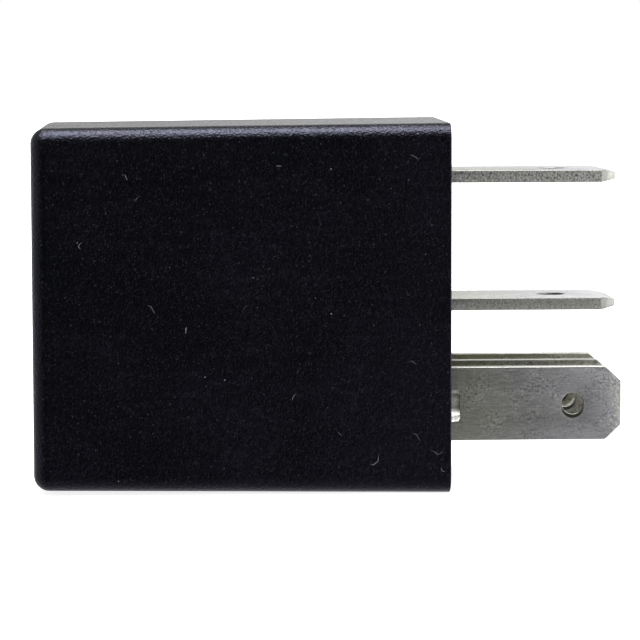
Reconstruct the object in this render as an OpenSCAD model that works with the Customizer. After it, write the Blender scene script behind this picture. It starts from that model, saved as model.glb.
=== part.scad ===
// Five-terminal micro relay with a changeover contact.
// The relay lies on its narrow side: +X is the way the blades point, +Z is up.
// Every piece is drawn in the relay's own frame, with X = 0 on the seating face and
// Y = Z = 0 on the centreline, and stand() then sets it down on Z = 0.

/* [Cover] */
// Length of the cover, from closed end to seating face
cover_l = 26.8; // [24.8:0.1:30]
// Height of the cover at its mouth
cover_h = 23.8; // [23.4:0.1:28]
// Depth of the cover at its mouth
cover_d = 15; // [14.6:0.1:18]
// Wall of the cover
cover_wall = 1; // [0.7:0.05:1.05]
// Draft of each side, in degrees
cover_draft = 0.57; // [0.2:0.01:0.6]
// Outer radius of the cover's edges
cover_edge_r = 1; // [0.5:0.05:1.5]
// Inner radius of the cover's edges
cavity_edge_r = 0.5; // [0.3:0.05:0.8]

/* [Base] */
// Thickness of the base plate
base_t = 2.6; // [2.2:0.1:3.2]
// Gap between the base and the cover, all round
base_gap = 0.08; // [0.05:0.01:0.15]
// Height of the pads that carry the yoke, above the base plate
pad_h = 0.8; // [0.8:0.05:1.2]
// Length of each pad along the yoke's edge
pad_l = 3.3; // [2.5:0.1:3.5]
// Distance of each pad from the middle of the depth
pad_offset = 2.7; // [2.6:0.1:3.5]
// Reach of the snap latches on the base's long sides
latch_reach = 0.35; // [0.2:0.05:0.4]
// Height of a snap latch
latch_h = 1.2; // [0.8:0.1:1.5]
// Width of a snap latch
latch_w = 3; // [2:0.1:4]
// Distance of each latch from the centreline
latch_z = 6; // [4:0.1:7.5]
// Distance of each latch from the seating face
latch_x = 0.6; // [0.4:0.1:1]
// Depth of the relief round each blade, in the seating face
relief_t = 0.4; // [0.2:0.05:0.6]
// Width of that relief round the blade
relief_w = 0.5; // [0.3:0.05:0.6]

/* [Blades] */
// Thickness of the terminal strip
blade_t = 0.8; // [0.8:0.05:0.9]
// Width of the two load blades
load_blade_w = 6.3; // [5.6:0.1:6.4]
// Reach of the load blades beyond the seating face
load_blade_l = 11.2; // [9:0.05:12]
// Radius of the locking hole in a load blade
load_hole_r = 0.9; // [0.6:0.05:1]
// Distance of that hole from the blade's tip
load_hole_tip = 4; // [3:0.05:4.5]
// Width of the three small blades
small_blade_w = 4.8; // [4.2:0.1:4.9]
// Reach of the small blades beyond the seating face
small_blade_l = 11.35; // [9:0.05:12]
// Radius of the locking hole in a small blade
small_hole_r = 0.7; // [0.5:0.05:0.9]
// Distance of that hole from the blade's tip
small_hole_tip = 3.2; // [2.5:0.05:4]
// Corner chamfer at a blade's tip, along the blade
tip_chamfer_l = 1.05; // [0.6:0.05:1.4]
// The same chamfer, across the blade
tip_chamfer_w = 0.95; // [0.6:0.05:1.4]
// Length of the bevel that thins a blade's tip
tip_bevel_l = 0.9; // [0.5:0.05:1.2]
// Depth of that bevel on each face
tip_bevel_t = 0.17; // [0.1:0.01:0.25]
// Gap round a blade in its slot
slot_gap = 0.03; // [0.02:0.01:0.06]
// Height of the coined recess at a small blade's root
coin_w = 1.8; // [1.2:0.05:2.2]
// Depth of that recess
coin_t = 0.3; // [0.1:0.02:0.4]
// Reach of that recess beyond the seating face
coin_l = 0.8; // [0.5:0.05:1.2]
// Corner radius of that recess
coin_corner_r = 0.25; // [0.1:0.05:0.4]

/* [Terminal places] */
// Height of blade 30 above the centreline
z_30 = 8.28; // [8.1:0.01:8.4]
// Height of blade 87 above the centreline
z_87 = -0.07; // [-0.3:0.01:0]
// Height of the row of small blades above the centreline
z_row = -6.44; // [-6.6:0.01:-6.4]
// Pitch of the small blades
row_pitch = 4.1; // [3.8:0.01:4.4]

/* [Inner strips] */
// Width of the inner strips of terminals 87 and 87a
strip_w = 4.6; // [4:0.1:4.8]
// Margin of a contact's shelf round its head
shelf_margin = 0.2; // [0.1:0.05:0.3]
// Gap between terminal 87's strip and the coil's flanges
riser_gap = 0.4; // [0.2:0.05:0.5]
// Gap between terminal 87a's strip and the cover, at the mouth
floor_gap = 0.4; // [0.3:0.05:0.5]
// Length of terminal 87a's upright neck behind the base
neck_l = 4; // [3:0.1:5]
// Length of its narrow run past that neck
neck_run = 1.5; // [1:0.1:2]
// Width of the coil terminals' posts
post_w = 2; // [1.6:0.1:2.2]
// Drop of the posts below the middle of the row of small blades
post_drop = 0.84; // [0.7:0.01:1]
// Reach of a post past the resistor's wire
post_tail = 1.3; // [0.8:0.1:1.5]
// Width of the arm that holds a wire end
arm_w = 1; // [0.8:0.05:1.2]
// Distance of that arm behind the coil's flange
arm_back = 0.7; // [0.6:0.05:1]

/* [Coil] */
// Highest place of the coil's axis above the centreline
coil_top_z = 2.2; // [2.1:0.05:2.3]
// Largest radius of the winding, as a share of the mouth's height
coil_share = 0.248; // [0.22:0.002:0.25]
// Thickness of the bobbin's flanges
flange_t = 0.9; // [0.7:0.05:1.1]
// Gap between the bobbin's flanges and the cover's sides, at the mouth
side_gap = 0.5; // [0.35:0.05:0.8]
// Least height of the flanges above the winding
flange_rim = 0.6; // [0.4:0.05:1]
// Gap between the winding and the yoke
coil_gap = 0.9; // [0.6:0.05:1.2]
// Wall of the bobbin's tube
tube_wall = 0.7; // [0.4:0.05:0.9]
// Radius of the core
core_r = 2.5; // [2:0.05:2.6]
// Radius of the core's pole disc
pole_r = 3.75; // [3.2:0.05:4.2]
// Thickness of the pole disc
pole_t = 1; // [0.8:0.05:1.2]
// Radius of the core's peened neck
neck_r = 1.8; // [1.4:0.05:2]
// Radius of the head peened on that neck
peen_r = 2.3; // [2.1:0.05:2.3]
// Thickness of a peened head
peen_t = 0.35; // [0.2:0.05:0.4]
// Radial gap between the core and the bobbin
core_gap = 0.05; // [0.03:0.01:0.1]
// Radius of the winding's wire ends
wire_r = 0.12; // [0.08:0.01:0.14]
// Turns of each wire end on its terminal
wire_turns = 4; // [3:1:5]

/* [Yoke and armature] */
// Thickness of the yoke
yoke_t = 1.4; // [1.2:0.05:1.4]
// Width of the yoke and the armature
yoke_w = 9.5; // [8.6:0.1:9.6]
// Gap between the yoke and the cover's roof, at the mouth
roof_gap = 1; // [0.95:0.01:1.05]
// Width of the yoke's short leg below the core's neck
yoke_lip = 1.3; // [1:0.1:1.5]
// Drop of the yoke's studs below blade 30
stud_drop = 2.4; // [2.2:0.05:2.5]
// Outer radius of the yoke's bend
yoke_bend_r = 1.6; // [1.5:0.05:1.8]
// Thickness of the armature
armature_t = 1.3; // [1:0.05:1.4]
// Clearance of the pulled-in armature from the yoke's end
hinge_gap = 0.02; // [0.02:0.01:0.04]
// Gap left between the pulled-in armature and the pole
pole_gap = 0.07; // [0.04:0.01:0.1]
// Width of the armature's tongue on the yoke's end
tongue_w = 4.8; // [4:0.1:5]
// Gap between the leaf's bend and the armature's shoulders
shoulder_gap = 0.6; // [0.5:0.05:0.8]
// Margin of the armature below the pole disc
pole_margin = 1; // [0.5:0.1:1.2]
// Length of the bobbin's guides at the armature's edges
guide_l = 2.5; // [1.5:0.1:3]
// Distance of studs and spring rivets from the middle of the depth
rivet_offset = 2.3; // [2:0.05:2.4]
// Radius of the spring rivets' shanks
rivet_r = 0.8; // [0.6:0.05:0.9]
// Radius of their heads
rivet_head_r = 1.3; // [1:0.05:1.4]
// Height of their heads
rivet_head_t = 0.4; // [0.3:0.05:0.45]

/* [Contacts] */
// Thickness of the leaf spring
leaf_t = 0.25; // [0.2:0.01:0.3]
// Inner radius of the leaf's bend
leaf_bend_r = 1.1; // [0.9:0.05:1.2]
// Reach of the leaf past its rivets on the yoke
leaf_tail = 2.2; // [1.6:0.1:2.4]
// Reach of the window between the leaf's legs, over the yoke
leaf_window = 1.5; // [1:0.1:2]
// Length of the leaf's taper from the armature's width to the contact arm's
leaf_taper = 2.8; // [2:0.1:3.2]
// Gap between the last contact rivet and the cover's closed end
end_gap = 1; // [0.5:0.1:1.5]
// Height of the contacts above the cover's floor, at the mouth
contact_up = 3.3; // [3.25:0.01:3.4]
// Radius of the contact rivets' heads
contact_r = 1.6; // [1.3:0.05:1.65]
// Radius of the contact rivets' shanks
contact_shank_r = 0.8; // [0.6:0.05:0.9]
// Height of a fixed contact's head
fixed_head_t = 0.7; // [0.5:0.05:0.75]
// Height of the moving contact on the side of the coil
moving_head_no = 1; // [0.7:0.05:1]
// Height of the moving contact on the closed side
moving_head_nc = 0.7; // [0.5:0.05:0.8]
// Travel of the moving contact between the fixed ones
contact_travel = 0.8; // [0.5:0.05:0.85]
// Gap between contacts that meet
contact_gap = 0.03; // [0.02:0.01:0.04]

/* [Resistor] */
// Radius of the resistor's body
resistor_r = 1.1; // [0.8:0.05:1.1]
// Length of the resistor's body
resistor_l = 5.6; // [4.5:0.1:6]
// Radius of its wires
lead_r = 0.3; // [0.2:0.05:0.35]
// Distance of its axis behind the base
resistor_back = 6.7; // [5.5:0.1:7]

/* [Hidden] */
$fn = 48;
// Overshoot of a cut past the face that it opens
cut = 0.5;
// Facets of a sphere or disc inside a hull
hull_fn = 32;
// Flats round the leaf spring's bend
bend_steps = 16;
// Clearance between fixed pieces inside
clear = 0.1;
// Corner radius of plates and flanges
corner_r = 0.8;

// Slope of the cover's sides
draft_run = tan(cover_draft);
// Inner size of the mouth
mouth_h = cover_h - 2 * cover_wall;
mouth_d = cover_d - 2 * cover_wall;

// Levels along X, from the base inwards
x_base = -base_t;
x_yoke = x_base - pad_h;
x_flange = x_yoke - yoke_t;
x_coil = x_flange - flange_t;

// Levels along X, from the closed end outwards to the contacts, the armature and the pole
x_nc_strip = -cover_l + cover_wall + end_gap + peen_t + blade_t;
x_nc_face = x_nc_strip + fixed_head_t;
x_leaf = x_nc_face + contact_gap + moving_head_nc + contact_travel + leaf_t;
x_no_face = x_leaf + moving_head_no + contact_gap;
x_no_strip = x_no_face + fixed_head_t;
x_hinge = x_leaf + armature_t;
x_yoke_end = x_hinge + hinge_gap;
x_pole_face = x_hinge + pole_gap;
x_pole = x_pole_face + pole_t;
x_coil_end = x_pole + flange_t;

// Coil: as thick as the cover's depth and height allow, and as long as the levels leave
winding_l = x_coil - x_coil_end;
winding_r = min(mouth_d / 2 - side_gap - flange_rim, coil_share * mouth_h);
flange_w = 2 * (winding_r + flange_rim);
tube_r = core_r + core_gap + tube_wall;

// Levels along Z
yoke_z = mouth_h / 2 - roof_gap;
coil_z = min(coil_top_z, yoke_z - yoke_t - coil_gap - winding_r);
flange_low_z = coil_z - flange_w / 2;
yoke_low_z = coil_z - neck_r - yoke_lip;
stud_z = z_30 - stud_drop;
shoulder_z = yoke_z - leaf_bend_r - shoulder_gap;
armature_low_z = coil_z - pole_r - pole_margin;
contact_z = -mouth_h / 2 + contact_up;
post_z = z_row - post_drop;

// The armature's width, its swing, and its rivets
armature_w = yoke_w - 3 * clear;
arm_r = yoke_z - contact_z;
open_angle = asin(contact_travel / arm_r);
armature_rivet_z = coil_z + pole_r - rivet_r + 0.15;
yoke_rivet_x = x_coil - 0.45 * winding_l;

// Inner strips of terminals 87 and 87a
riser_87_z = flange_low_z - riser_gap;
riser_87a_z = -mouth_h / 2 + floor_gap;
shelf_reach = contact_r + shelf_margin;

// Arms of the coil terminals, and the resistor between their posts
arm_x = x_coil - arm_back;
resistor_x = x_base - resistor_back;

black = [0.06, 0.06, 0.07];
tin = [0.72, 0.72, 0.70];
steel = [0.55, 0.56, 0.58];
copper = [0.72, 0.38, 0.20];
silver = [0.85, 0.85, 0.83];

// Sets the relay down: bottom on Z = 0, middle of its length on X = 0
module stand() {
    translate([(cover_l - max(load_blade_l, small_blade_l)) / 2, 0, cover_h / 2]) children();
}

// Rectangle with round corners, centred
module round_rect(w, h, r) {
    square([w - 2 * r, h], center = true);
    square([w, h - 2 * r], center = true);
    for (x = [-1, 1], y = [-1, 1]) translate([x * (w / 2 - r), y * (h / 2 - r)]) circle(r);
}

// Plate in the YZ plane, from x to x + t, from children drawn as [Y, Z]
module plate_x(x, t) {
    translate([x, 0, 0]) rotate([90, 0, 90]) linear_extrude(t) children();
}

// Plate in the XZ plane, centred on y, from children drawn as [X, Z]
module plate_y(y, t) {
    translate([0, y + t / 2, 0]) rotate([90, 0, 0]) linear_extrude(t) children();
}

// Plate in the XY plane, from z to z + t, from children drawn as [X, Y]
module plate_z(z, t) {
    translate([0, 0, z]) linear_extrude(t) children();
}

// Round bar along X, from x1 to x2
module bar_x(x1, x2, r) {
    translate([min(x1, x2), 0, 0]) rotate([0, 90, 0]) cylinder(h = abs(x2 - x1), r = r);
}

// Rectangle between two corners
module rect(x1, y1, x2, y2) {
    translate([min(x1, x2), min(y1, y2)]) square([abs(x2 - x1), abs(y2 - y1)]);
}

// Drafted box with round edges, from its far end at x_end to its mouth
module drafted_box(x_end, h, d, r, x_mouth) {
    hull() {
        for (y = [-1, 1], z = [-1, 1]) {
            translate([x_end + r, y * (d / 2 + x_end * draft_run - r), z * (h / 2 + x_end * draft_run - r)])
                rotate([0, 90, 0]) sphere(r, $fn = hull_fn);
            translate([x_mouth, y * (d / 2 + x_mouth * draft_run - r), z * (h / 2 + x_mouth * draft_run - r)])
                rotate([0, -90, 0]) cylinder(h = 0.01, r = r, $fn = hull_fn);
        }
    }
}

module cover() {
    color(black) stand() difference() {
        drafted_box(-cover_l, cover_h, cover_d, cover_edge_r, 0);
        drafted_box(-cover_l + cover_wall, mouth_h, mouth_d, cavity_edge_r, cut);
        for (y = [-1, 1], z = [-1, 1]) latch(y, z * latch_z, base_gap);
    }
}

// Snap latch on a long side of the base, or its pocket when grown by gap
module latch(side, z, gap) {
    reach = latch_reach + base_gap;
    foot = mouth_d / 2 - base_gap - cut / 2;
    top = mouth_d / 2 - base_gap + reach;
    translate([0, 0, z - latch_w / 2 - gap]) linear_extrude(latch_w + 2 * gap)
        polygon([
            [-latch_x + gap, side * foot], [-latch_x + gap, side * (top - base_gap + gap / 2)],
            [-latch_x - latch_h / 3, side * (top - base_gap + gap / 2)],
            [-latch_x - latch_h - gap, side * foot]
        ]);
}

// Slot for a blade, with its relief in the seating face
module blade_slot(y, z, w, t) {
    plate_x(-base_t - cut, base_t + 2 * cut)
        translate([y, z]) square([w + 2 * slot_gap, t + 2 * slot_gap], center = true);
    plate_x(-relief_t, relief_t + cut)
        translate([y, z]) square([w + 2 * relief_w, t + 2 * relief_w], center = true);
}

module base() {
    slot_w = load_blade_w + 2 * slot_gap;
    color(black) stand() difference() {
        union() {
            plate_x(x_base, base_t) round_rect(mouth_d - 2 * base_gap, mouth_h - 2 * base_gap, cavity_edge_r);
            for (y = [-1, 1], z = [-1, 1]) latch(y, z * latch_z, 0);
            for (y = [-1, 1]) plate_x(x_yoke, pad_h + cut)
                rect(y * pad_offset, yoke_low_z + clear, y * yoke_w / 2, yoke_low_z + clear + pad_l);
        }
        blade_slot(0, z_30, load_blade_w, blade_t);
        blade_slot(0, z_87, load_blade_w, blade_t);
        for (n = [-1, 0, 1]) blade_slot(n * row_pitch, z_row, blade_t, small_blade_w);
        plate_x(x_base - cut, blade_t + cut)
            rect(-slot_w / 2, z_87 + blade_t, slot_w / 2, riser_87_z - blade_t - slot_gap);
        for (y = [-1, 1]) translate([0, y * rivet_offset, stud_z])
            bar_x(x_base - cut, x_base + peen_t + clear, rivet_head_r + clear);
    }
}

// Flat outline of a blade's tip as [along, across], with its corners cut
module blade_outline(x1, l, w) {
    polygon([
        [x1, -w / 2], [l - tip_chamfer_l, -w / 2], [l, -w / 2 + tip_chamfer_w],
        [l, w / 2 - tip_chamfer_w], [l - tip_chamfer_l, w / 2], [x1, w / 2]
    ]);
}

// Side outline of a blade as [along, thickness], thinned at its tip
module blade_side(x1, l) {
    polygon([
        [x1, -blade_t / 2], [l - tip_bevel_l, -blade_t / 2], [l, -blade_t / 2 + tip_bevel_t],
        [l, blade_t / 2 - tip_bevel_t], [l - tip_bevel_l, blade_t / 2], [x1, blade_t / 2]
    ]);
}

// Load blade in the XY plane at height z, from x1 to its tip, with its locking hole
module load_blade(x1, z) {
    translate([0, 0, z]) difference() {
        intersection() {
            translate([0, 0, -blade_t / 2]) linear_extrude(blade_t)
                blade_outline(x1, load_blade_l, load_blade_w);
            plate_y(0, load_blade_w) blade_side(x1, load_blade_l);
        }
        translate([load_blade_l - load_hole_tip, 0, -blade_t]) cylinder(h = 2 * blade_t, r = load_hole_r);
    }
}

// Small blade in the XZ plane at y, from x1 to its tip, with its hole and its coined recess
module small_blade(x1, y) {
    coin_r = (coin_w * coin_w / 4 + coin_t * coin_t) / (2 * coin_t);
    translate([0, y, z_row]) difference() {
        intersection() {
            plate_y(0, blade_t) blade_outline(x1, small_blade_l, small_blade_w);
            translate([0, 0, -small_blade_w / 2]) linear_extrude(small_blade_w) blade_side(x1, small_blade_l);
        }
        translate([small_blade_l - small_hole_tip, 0, 0]) rotate([90, 0, 0])
            cylinder(h = 2 * blade_t, r = small_hole_r, center = true);
        intersection() {
            translate([0, -blade_t / 2 + coin_t - coin_r, 0]) bar_x(-coin_l, coin_l, coin_r);
            plate_y(0, 2 * blade_t) round_rect(2 * coin_l, coin_w, coin_corner_r);
        }
    }
}

// Blade 30, bent over to a foot that is peened to the yoke
module terminal_30() {
    foot_low_z = coil_z + peen_r + clear;
    color(tin) stand() {
        load_blade(x_yoke + blade_t, z_30);
        difference() {
            plate_x(x_yoke, blade_t)
                rect(-load_blade_w / 2, z_30 + blade_t / 2, load_blade_w / 2, foot_low_z);
            for (y = [-1, 1]) translate([0, y * rivet_offset, stud_z])
                bar_x(x_yoke - cut, x_base + cut, rivet_r);
        }
    }
}

// Blade 87, stepped down in the base and led up beside the coil to its contact shelf
module terminal_87() {
    x_step = x_base + blade_t;
    color(tin) stand() difference() {
        union() {
            load_blade(x_base, z_87);
            plate_x(x_base, blade_t) rect(-strip_w / 2, z_87, strip_w / 2, riser_87_z - blade_t);
            plate_z(riser_87_z - blade_t, blade_t) rect(x_step, -strip_w / 2, x_no_strip, strip_w / 2);
            plate_x(x_no_strip, blade_t) rect(-strip_w / 2, riser_87_z, strip_w / 2, contact_z - shelf_reach);
        }
        translate([0, 0, contact_z]) bar_x(x_no_strip - cut, x_no_strip + blade_t + cut, contact_shank_r);
    }
}

// Blade 87a: its lower half runs on as an upright neck, bent square to a strip along the floor,
// which turns up at its end as a shelf over the contact arm
module terminal_87a() {
    low = riser_87a_z;
    neck_x = x_base - neck_l;
    neck_top = z_row + post_w / 2;
    wide_x = neck_x - neck_run;
    end_x = x_nc_strip - blade_t;
    color(tin) stand() difference() {
        union() {
            difference() {
                small_blade(x_base - cut, 0);
                plate_y(0, 2 * blade_t) rect(x_base - 2 * cut, neck_top, -base_t / 2, z_row + small_blade_w);
            }
            plate_y(0, blade_t) rect(x_base, neck_top, neck_x, low);
            plate_z(low, blade_t) rect(x_base, -blade_t / 2, wide_x, strip_w / 2);
            plate_z(low, blade_t) rect(wide_x + blade_t, -strip_w / 2, end_x, strip_w / 2);
            plate_x(end_x, blade_t) rect(-strip_w / 2, low, strip_w / 2, contact_z + shelf_reach);
        }
        translate([0, 0, contact_z]) bar_x(end_x - cut, x_nc_strip + cut, contact_shank_r);
    }
}

// Coil terminal: a small blade with a shoulder on the base, a post and an arm for the wire
module coil_terminal(side) {
    y = side * row_pitch;
    post_end = resistor_x - post_tail;
    shoulder = 0.5;
    shoulder_low_z = z_row - small_blade_w / 2 - shoulder;
    color(tin) stand() {
        small_blade(x_base, y);
        difference() {
            plate_y(y, blade_t) {
                rect(x_base, shoulder_low_z, x_base - 2 * shoulder, post_z + post_w / 2);
                rect(x_base, post_z - post_w / 2, post_end, post_z + post_w / 2);
                rect(arm_x - arm_w / 2, post_z, arm_x + arm_w / 2, riser_87_z);
            }
            translate([resistor_x, y, post_z]) rotate([90, 0, 0])
                cylinder(h = 2 * blade_t, r = lead_r, center = true);
        }
    }
}

module terminal_85() {
    coil_terminal(1);
}

module terminal_86() {
    coil_terminal(-1);
}

// Outline of the bobbin's flanges, as [Y, Z]
module flange_outline() {
    top = yoke_z - yoke_bend_r;
    translate([0, (top + flange_low_z) / 2]) round_rect(flange_w, top - flange_low_z, corner_r);
}

// Bobbin: tube and flanges, two feet on the base, and two guides at the armature's edges
module bobbin() {
    foot_y = row_pitch - 2 * clear;
    foot_side = flange_w / 2 - side_gap;
    guide_top = shoulder_z - pole_margin;
    color([0.16, 0.20, 0.24]) stand() difference() {
        union() {
            plate_x(x_coil, flange_t) flange_outline();
            plate_x(x_pole, flange_t) flange_outline();
            translate([0, 0, coil_z]) bar_x(x_coil, x_coil_end, tube_r);
            for (y = [-1, 1]) {
                plate_x(x_flange - cut / 2, x_base - x_flange + cut / 2)
                    rect(y * foot_y, flange_low_z, y * foot_side, yoke_low_z - 2 * clear);
                plate_x(x_leaf, x_pole - x_leaf + cut / 2)
                    rect(y * (yoke_w / 2 + clear), guide_top - guide_l, y * flange_w / 2, guide_top);
            }
        }
        translate([0, 0, coil_z]) bar_x(x_pole - cut, x_flange + cut, core_r + core_gap);
    }
}

module winding() {
    bulge = 0.15;
    color(copper) stand() translate([x_coil_end, 0, coil_z]) rotate([0, 90, 0])
        rotate_extrude() polygon([
            [tube_r, 0], [winding_r - bulge, 0], [winding_r, winding_l / 8],
            [winding_r, 7 * winding_l / 8], [winding_r - bulge, winding_l], [tube_r, winding_l]
        ]);
}

module core() {
    color(steel) stand() translate([0, 0, coil_z]) {
        bar_x(x_pole_face, x_pole, pole_r);
        bar_x(x_pole, x_flange, core_r);
        bar_x(x_flange, x_yoke, neck_r);
        bar_x(x_yoke, x_yoke + peen_t, peen_r);
    }
}

// Side outline of the yoke as [X, Z]: short leg on the base, long leg beside the coil
module yoke_outline() {
    rect(x_flange, yoke_low_z, x_yoke, yoke_z - yoke_bend_r);
    rect(x_yoke_end, yoke_z - yoke_t, x_yoke - yoke_bend_r, yoke_z);
    translate([x_yoke - yoke_bend_r, yoke_z - yoke_bend_r]) difference() {
        intersection() {
            circle(yoke_bend_r);
            square(yoke_bend_r);
        }
        circle(yoke_bend_r - yoke_t);
    }
}

module yoke() {
    color(steel) stand() {
        difference() {
            plate_y(0, yoke_w) yoke_outline();
            translate([0, 0, coil_z]) bar_x(x_flange - cut, x_yoke + cut, neck_r);
            for (y = [-1, 1]) translate([yoke_rivet_x, y * rivet_offset, yoke_z - yoke_t - cut])
                cylinder(h = yoke_t + 2 * cut, r = rivet_r);
        }
        for (y = [-1, 1]) translate([0, y * rivet_offset, stud_z]) {
            bar_x(x_yoke - 0.3, x_base, rivet_r);
            bar_x(x_base, x_base + peen_t, rivet_head_r);
        }
    }
}

// Turns what rides on the armature from pulled in to its place at rest
module at_rest() {
    translate([x_hinge, 0, yoke_z]) rotate([0, open_angle, 0]) translate([-x_hinge, 0, -yoke_z]) children();
}

module armature() {
    color(steel) stand() at_rest() difference() {
        plate_x(x_leaf, armature_t) union() {
            translate([0, (shoulder_z + armature_low_z) / 2])
                round_rect(armature_w, shoulder_z - armature_low_z, corner_r);
            rect(-tongue_w / 2, shoulder_z - cut, tongue_w / 2, yoke_z);
        }
        for (y = [-1, 1]) translate([0, y * rivet_offset, armature_rivet_z])
            bar_x(x_leaf - cut, x_hinge + cut, rivet_r);
    }
}

// One face of the leaf as points [X, Z], lift above the yoke: along the yoke, round the bend, down the arm
function leaf_face(lift) =
    let (
        bend = 90 - open_angle,
        run = leaf_bend_r * tan(bend / 2),
        x = x_hinge - armature_t / cos(open_angle) + run,
        z = yoke_z - leaf_bend_r,
        r = leaf_bend_r + lift,
        arm = arm_r + 2 * contact_r
    )
    concat(
        [[yoke_rivet_x + leaf_tail, yoke_z + lift]],
        [for (k = [0 : bend_steps]) let (a = 90 + bend * k / bend_steps) [x + r * cos(a), z + r * sin(a)]],
        [[x + r * cos(90 + bend) - arm * sin(open_angle), z + r * sin(90 + bend) - arm * cos(open_angle)]]
    );

// Points in the opposite order
function reversed(p) = [for (k = [len(p) - 1 : -1 : 0]) p[k]];

// Leaf spring: plate on the yoke, two bent legs round the hinge, plate and contact arm on the armature
module contact_spring() {
    window = tongue_w / 2 + 2 * clear;
    color([0.80, 0.55, 0.30]) stand() difference() {
        intersection() {
            plate_y(0, armature_w + 2 * cut) polygon(concat(leaf_face(leaf_t), reversed(leaf_face(0))));
            at_rest() plate_x(-cover_l, cover_l) leaf_outline();
        }
        plate_y(0, 2 * window)
            rect(-cover_l, shoulder_z - shoulder_gap, x_yoke_end + leaf_window, yoke_z + cut);
        for (y = [-1, 1]) {
            translate([yoke_rivet_x, y * rivet_offset, yoke_z - cut])
                cylinder(h = leaf_t + 2 * cut, r = rivet_r);
            at_rest() translate([0, y * rivet_offset, armature_rivet_z])
                bar_x(x_leaf - leaf_t - cut, x_leaf + cut, rivet_r);
        }
        at_rest() translate([0, 0, contact_z]) bar_x(x_leaf - leaf_t - cut, x_leaf + cut, contact_shank_r);
    }
}

// Outline of the leaf as [Y, Z], seen along the relay: wide on the armature, narrow at the contact
module leaf_outline() {
    wide = armature_w / 2;
    narrow = contact_r + 0.15;
    top = yoke_z + leaf_bend_r;
    taper_top = armature_low_z + corner_r;
    taper_low = taper_top - leaf_taper;
    polygon([
        [-wide, top], [-wide, taper_top], [-narrow, taper_low], [-narrow, contact_z],
        [narrow, contact_z], [narrow, taper_low], [wide, taper_top], [wide, top]
    ]);
    translate([0, contact_z]) circle(narrow);
}

// Rivet head along X with a domed face: a disc of radius r from x, t high towards dir
module domed_head(x, t, r, dir) {
    dome_r = 4 * r;
    translate([x, 0, 0]) intersection() {
        bar_x(0, dir * t, r);
        translate([dir * (t - dome_r), 0, 0]) rotate([0, 90, 0]) sphere(dome_r, $fn = 96);
    }
}

module moving_contact() {
    color(silver) stand() at_rest() translate([0, 0, contact_z]) {
        bar_x(x_leaf - leaf_t, x_leaf, contact_shank_r);
        domed_head(x_leaf, moving_head_no, contact_r, 1);
        domed_head(x_leaf - leaf_t, moving_head_nc, contact_r, -1);
    }
}

// Fixed contact rivet: head at x towards dir, shank through the strip behind it
module fixed_contact(x, dir) {
    tail = x - dir * (fixed_head_t + blade_t);
    color(silver) stand() translate([0, 0, contact_z]) {
        bar_x(x, x - dir * fixed_head_t, contact_r);
        bar_x(x - dir * fixed_head_t, tail, contact_shank_r);
        bar_x(tail, tail - dir * peen_t, contact_shank_r + 0.4);
    }
}

module contact_no() {
    fixed_contact(x_no_face, -1);
}

module contact_nc() {
    fixed_contact(x_nc_face, 1);
}

module armature_rivet(side) {
    color(copper) stand() at_rest() translate([0, side * rivet_offset, armature_rivet_z]) {
        bar_x(x_hinge, x_leaf - leaf_t, rivet_r);
        domed_head(x_leaf - leaf_t, rivet_head_t, rivet_head_r, -1);
    }
}

module armature_rivet_1() {
    armature_rivet(-1);
}

module armature_rivet_2() {
    armature_rivet(1);
}

module yoke_rivet(side) {
    head_z = yoke_z + leaf_t;
    color(copper) stand() translate([yoke_rivet_x, side * rivet_offset, head_z]) rotate([0, -90, 0]) {
        bar_x(-leaf_t - yoke_t, 0, rivet_r);
        domed_head(0, rivet_head_t, rivet_head_r, 1);
    }
}

module yoke_rivet_1() {
    yoke_rivet(-1);
}

module yoke_rivet_2() {
    yoke_rivet(1);
}

// Round bar along Y from y1 to y2, at the resistor's place
module bar_y(y1, y2, r) {
    translate([resistor_x, max(y1, y2), post_z]) rotate([90, 0, 0]) cylinder(h = abs(y2 - y1), r = r);
}

module resistor() {
    cap_l = resistor_l / 5;
    color([0.25, 0.42, 0.50]) stand() {
        bar_y(-resistor_l / 2, -resistor_l / 2 + cap_l, resistor_r);
        bar_y(-resistor_l / 2 + cap_l, resistor_l / 2 - cap_l, resistor_r - 0.12);
        bar_y(resistor_l / 2 - cap_l, resistor_l / 2, resistor_r);
    }
}

module resistor_lead(side) {
    color(tin) stand() bar_y(side * resistor_l / 2, side * (row_pitch + blade_t / 2 + 0.5), lead_r);
}

module resistor_lead_85() {
    resistor_lead(1);
}

module resistor_lead_86() {
    resistor_lead(-1);
}

// Solder fillet round a resistor wire, on the outer face of its post
module solder(side) {
    outer_y = side * (row_pitch + blade_t / 2);
    color(silver) stand() translate([resistor_x, outer_y, post_z]) rotate([-90 * side, 0, 0])
        rotate_extrude() polygon([
            [lead_r, 0], [lead_r + 0.5, 0], [lead_r + 0.2, 0.12], [lead_r + 0.06, 0.3], [lead_r, 0.4]
        ]);
}

module solder_85() {
    solder(1);
}

module solder_86() {
    solder(-1);
}

// Length of a vector, and a vector of length one
function unit(v) = v / norm(v);
// Part of v that is square to t
function square_to(v, t) = unit(v - (v * t) * t);
// Tangent of a path at point i
function tangent(p, i) = unit(p[min(i + 1, len(p) - 1)] - p[max(i - 1, 0)]);
// Normals along a path, each carried on from the one before
function carried(p, n, i = 0) =
    i == len(p) ? [] : let (m = square_to(n, tangent(p, i))) concat([m], carried(p, m, i + 1));

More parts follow.
